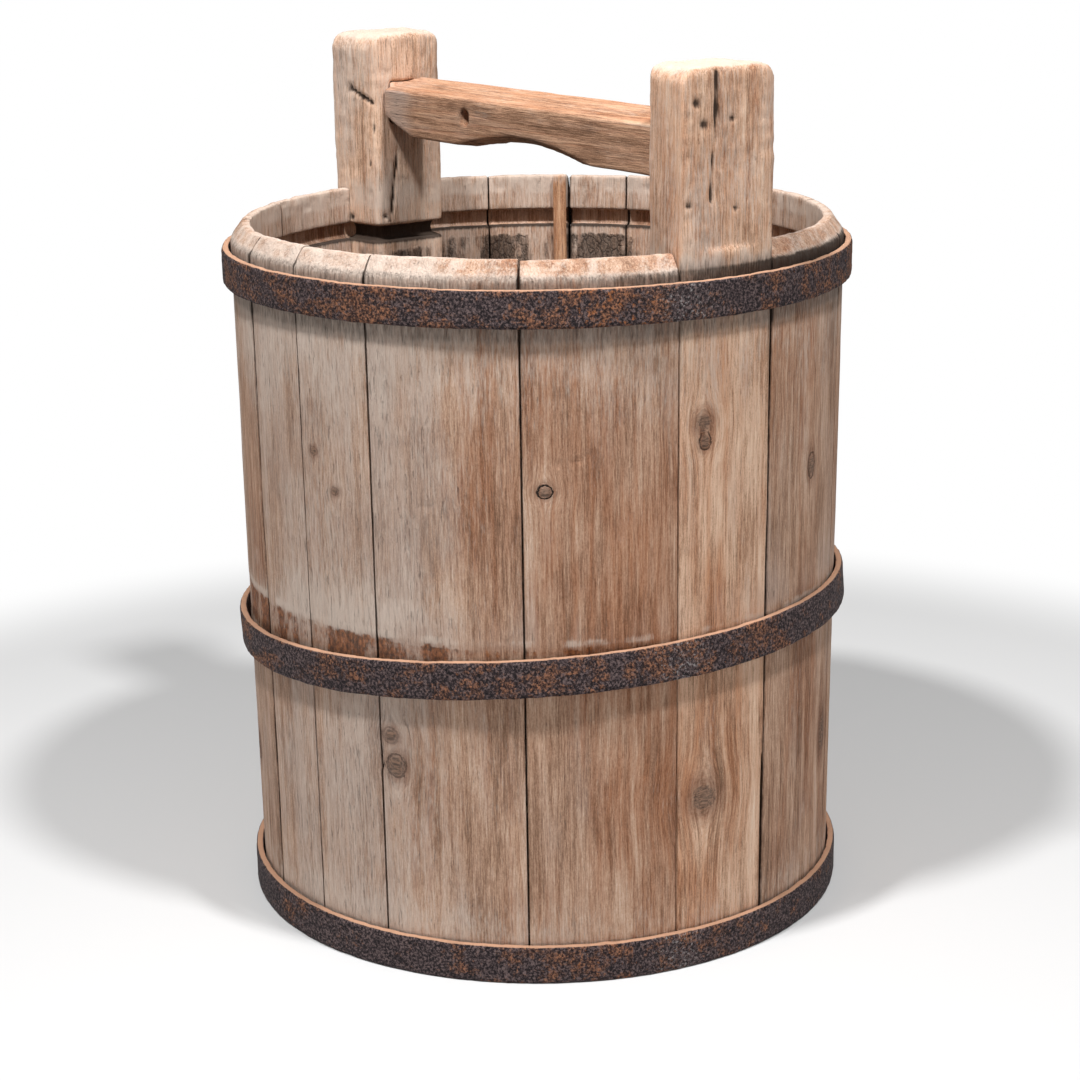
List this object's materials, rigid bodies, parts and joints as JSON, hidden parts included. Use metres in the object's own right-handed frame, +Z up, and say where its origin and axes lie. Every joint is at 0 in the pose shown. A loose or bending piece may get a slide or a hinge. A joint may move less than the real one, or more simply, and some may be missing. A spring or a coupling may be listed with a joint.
{
  "type": "water bucket",
  "caption": "Coopered wooden water bucket: straight staves in iron hoops, tall post staves that carry a tenoned handle bar, and a boarded floor.",
  "frame": {"origin": "centre of the base, on the surface that the bucket stands on", "axes": "+Z up, +X toward the right post, so that the handle bar runs along X"},
  "size_m": [0.4, 0.4, 0.548],
  "materials": {
    "weathered_wood": "dry weathered softwood, grey to orange brown, unvarnished",
    "post_wood": "dry worn wood with rounded arrises, grey and orange brown",
    "bar_wood": "hand-worn wood, orange brown on top and grey at the ends",
    "floor_wood": "dark stained boards",
    "peg_wood": "split bamboo or hardwood, bare",
    "hoop_iron": "hand-forged iron, dark with orange rust",
    "batten_wood": "sawn brown wood, newer than the staves",
    "nail_iron": "rusty iron"
  },
  "bodies": {
    "root": {"stave_01": "weathered_wood", "stave_02": "weathered_wood", "stave_03": "weathered_wood", "stave_04": "weathered_wood", "stave_05": "weathered_wood", "stave_06": "weathered_wood", "stave_07": "weathered_wood", "stave_08": "weathered_wood", "stave_09": "weathered_wood", "stave_10": "weathered_wood", "stave_11": "weathered_wood", "stave_12": "weathered_wood", "stave_13": "weathered_wood", "stave_14": "weathered_wood", "stave_15": "weathered_wood", "post_stave_right": "post_wood", "post_stave_left": "post_wood", "handle_bar": "bar_wood", "floor_board_middle": "floor_wood", "floor_board_near": "floor_wood", "floor_board_far": "floor_wood", "floor_dowels": "peg_wood", "stave_pegs_lower": "peg_wood", "stave_pegs_upper": "peg_wood", "hoop_top": "hoop_iron", "hoop_middle": "hoop_iron", "hoop_bottom": "hoop_iron", "rivets_hoop_top": "hoop_iron", "rivets_hoop_middle": "hoop_iron", "rivets_hoop_bottom": "hoop_iron", "seam_batten": "batten_wood", "batten_nails": "nail_iron"}
  },
  "joints": []
}
